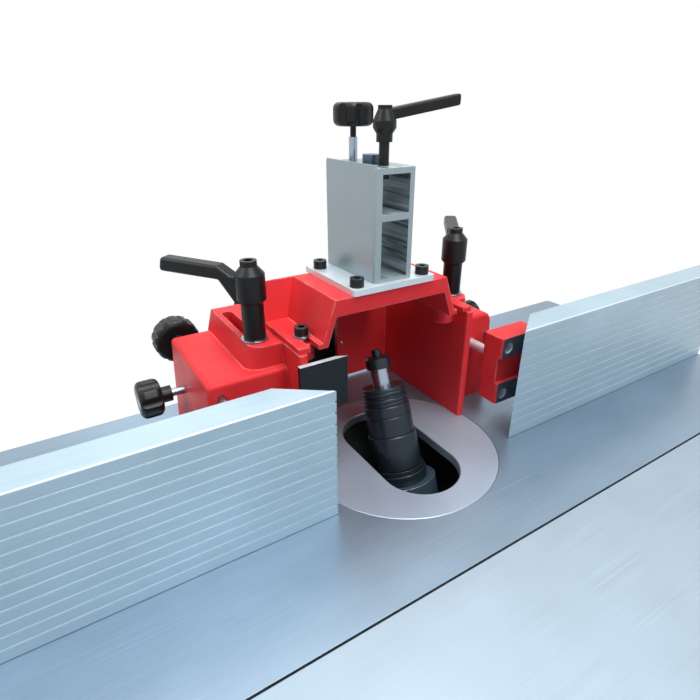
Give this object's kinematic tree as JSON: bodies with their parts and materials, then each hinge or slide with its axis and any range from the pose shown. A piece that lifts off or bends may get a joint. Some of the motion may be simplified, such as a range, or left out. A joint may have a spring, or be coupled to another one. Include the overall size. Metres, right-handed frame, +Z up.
{
  "type": "spindle moulder",
  "caption": "Spindle moulder on a floor cabinet: cast table with insert ring, sliding front plate, tilting and rising spindle, red fence with hood and clamp levers.",
  "frame": {"origin": "on the floor under the middle of the table's insert ring", "axes": "+X to the operator's right, +Y from the operator to the back, +Z up"},
  "size_m": [1, 0.691, 1.1823],
  "materials": {
    "cabinet_paint": "satin",
    "ground_iron": "ground",
    "ring_steel": "turned",
    "anodised": "anodised satin",
    "cast_iron": "as cast",
    "bright_steel": "turned",
    "black_oxide": "blackened",
    "red_paint": "gloss",
    "motor_paint": "satin",
    "black_plastic": "fine grain",
    "dust_plastic": "smooth",
    "belt_rubber": "smooth"
  },
  "bodies": {
    "stand": {"base_plate": "cabinet_paint", "front_panel": "cabinet_paint", "rear_panel": "cabinet_paint", "left_panel": "cabinet_paint", "right_panel": "cabinet_paint", "table": "ground_iron", "insert_ring": "ring_steel", "table_bolts": "bright_steel", "clamp_studs": "bright_steel", "door_hinges": "bright_steel", "slide_beam": "anodised", "slide_rods": "bright_steel", "trunnion_brackets": "cast_iron", "front_bearing": "bright_steel"},
    "door": {"door_panel": "cabinet_paint", "door_knob": "black_plastic"},
    "sliding_table": {"sliding_plate": "anodised", "slide_bearings": "anodised"},
    "carriage": {"carriage_casting": "cast_iron"},
    "quill": {"quill_tube": "bright_steel", "spindle_bearings": "bright_steel", "motor_bracket": "cast_iron", "motor_body": "motor_paint", "fan_cover": "motor_paint", "drive_belt": "belt_rubber"},
    "spindle": {"spindle_shaft": "bright_steel", "spindle_collars": "black_oxide", "spindle_nut": "black_oxide", "spindle_screw": "black_oxide", "spindle_pulley": "cast_iron"},
    "rotor": {"motor_shaft": "bright_steel", "motor_pulley": "cast_iron"},
    "rise_wheel": {"rise_shaft": "bright_steel", "rise_handwheel": "black_plastic", "rise_grip": "black_plastic"},
    "tilt_wheel": {"tilt_worm": "bright_steel", "tilt_handwheel": "black_plastic", "tilt_grip": "black_plastic"},
    "fence": {"fence_casting": "red_paint", "hood_cover": "red_paint", "hood_bolts": "black_oxide", "tower_base": "anodised", "tower_column": "anodised", "tower_screws": "black_oxide", "chip_plate": "black_oxide", "dust_port": "dust_plastic"},
    "left_slide": {"left_carrier": "red_paint", "left_guide_rods": "bright_steel"},
    "right_slide": {"right_carrier": "red_paint", "right_guide_rods": "bright_steel"},
    "left_adjuster": {"left_adjust_knob": "black_plastic"},
    "right_adjuster": {"right_adjust_knob": "black_plastic"},
    "left_plate": {"left_fence": "anodised"},
    "right_plate": {"right_fence": "anodised"},
    "left_lever": {"left_clamp_lever": "black_plastic"},
    "right_lever": {"right_clamp_lever": "black_plastic"},
    "left_lock": {"left_lock_knob": "black_plastic"},
    "right_lock": {"right_lock_knob": "black_plastic"},
    "knob_on_tower": {"top_knob": "black_plastic"},
    "lever_on_tower": {"top_lever": "black_plastic"}
  },
  "joints": [
    {"name": "door_hinge", "type": "hinge", "parent": "stand", "child": "door", "pos_m": [-0.3063, 0.1383, 0.345], "axis": [0, 0, -1], "range_deg": [0, 110]},
    {"name": "table_slide", "type": "slide", "parent": "stand", "child": "sliding_table", "axis": [1, 0, 0], "range_m": [-0.25, 0.25]},
    {"name": "tilt_hinge", "type": "hinge", "parent": "stand", "child": "carriage", "pos_m": [0, -0.028, 0.76], "axis": [-1, 0, 0], "range_deg": [-21.5, 8.5]},
    {"name": "rise_slide", "type": "slide", "parent": "carriage", "child": "quill", "axis": [0, 0.3665, 0.9304], "range_m": [-0.07, 0.015]},
    {"name": "spindle_spin", "type": "hinge", "parent": "quill", "child": "spindle", "pos_m": [0, -0.028, 0.76], "axis": [0, 0.3665, 0.9304], "continuous": true},
    {"name": "motor_spin", "type": "hinge", "parent": "quill", "child": "rotor", "pos_m": [0, 0.03826, 0.51894], "axis": [0, 0.3665, 0.9304], "continuous": true},
    {"name": "rise_wheel_turn", "type": "hinge", "parent": "carriage", "child": "rise_wheel", "pos_m": [0, -0.12202, 0.66806], "axis": [1, 0, 0], "range_deg": [-262.5, 56.25]},
    {"name": "tilt_wheel_turn", "type": "hinge", "parent": "stand", "child": "tilt_wheel", "pos_m": [-0.091, -0.028, 0.5998], "axis": [0, 1, 0], "range_deg": [-3870, 1530]},
    {"name": "fence_slide", "type": "slide", "parent": "stand", "child": "fence", "axis": [0, 1, 0], "range_m": [-0.07, 0]},
    {"name": "lever_on_tower_turn", "type": "hinge", "parent": "fence", "child": "lever_on_tower", "pos_m": [0, 0.039, 1.126], "axis": [0, 0, 1], "range_deg": [-50, 50]},
    {"name": "knob_on_tower_turn", "type": "hinge", "parent": "fence", "child": "knob_on_tower", "pos_m": [0, 0.089, 1.126], "axis": [0, 0, 1], "range_deg": [-360, 360]},
    {"name": "left_carrier_slide", "type": "slide", "parent": "fence", "child": "left_slide", "axis": [0, 1, 0], "range_m": [-0.01, 0.008]},
    {"name": "left_adjust_turn", "type": "hinge", "parent": "fence", "child": "left_adjuster", "pos_m": [-0.166, 0.18, 0.942], "axis": [0, 1, 0], "range_deg": [-720, 576]},
    {"name": "left_plate_slide", "type": "slide", "parent": "left_slide", "child": "left_plate", "axis": [1, 0, 0], "range_m": [-0.06, 0.06]},
    {"name": "left_lever_turn", "type": "hinge", "parent": "stand", "child": "left_lever", "pos_m": [-0.12, 0.069, 1.03], "axis": [0, 0, 1], "range_deg": [-60, 60]},
    {"name": "left_lock_turn", "type": "hinge", "parent": "fence", "child": "left_lock", "pos_m": [-0.2, 0.126, 0.914], "axis": [-1, 0, 0], "range_deg": [-360, 360]},
    {"name": "right_carrier_slide", "type": "slide", "parent": "fence", "child": "right_slide", "axis": [0, 1, 0], "range_m": [-0.01, 0.008]},
    {"name": "right_adjust_turn", "type": "hinge", "parent": "fence", "child": "right_adjuster", "pos_m": [0.156, 0.18, 0.929], "axis": [0, 1, 0], "range_deg": [-720, 576]},
    {"name": "right_plate_slide", "type": "slide", "parent": "right_slide", "child": "right_plate", "axis": [-1, 0, 0], "range_m": [-0.06, 0.06]},
    {"name": "right_lever_turn", "type": "hinge", "parent": "stand", "child": "right_lever", "pos_m": [0.12, 0.069, 1.03], "axis": [0, 0, 1], "range_deg": [-60, 60]},
    {"name": "right_lock_turn", "type": "hinge", "parent": "fence", "child": "right_lock", "pos_m": [0.2, 0.126, 0.914], "axis": [1, 0, 0], "range_deg": [-360, 360]}
  ],
  "couplings": [
    {"joint": "motor_spin", "follows": "spindle_spin", "ratio": 0.7},
    {"joint": "rise_wheel_turn", "follows": "rise_slide", "rad_per_m": 65.45},
    {"joint": "tilt_wheel_turn", "follows": "tilt_hinge", "ratio": 180},
    {"joint": "left_adjust_turn", "follows": "left_carrier_slide", "rad_per_m": 1256.6},
    {"joint": "right_adjust_turn", "follows": "right_carrier_slide", "rad_per_m": 1256.6}
  ]
}
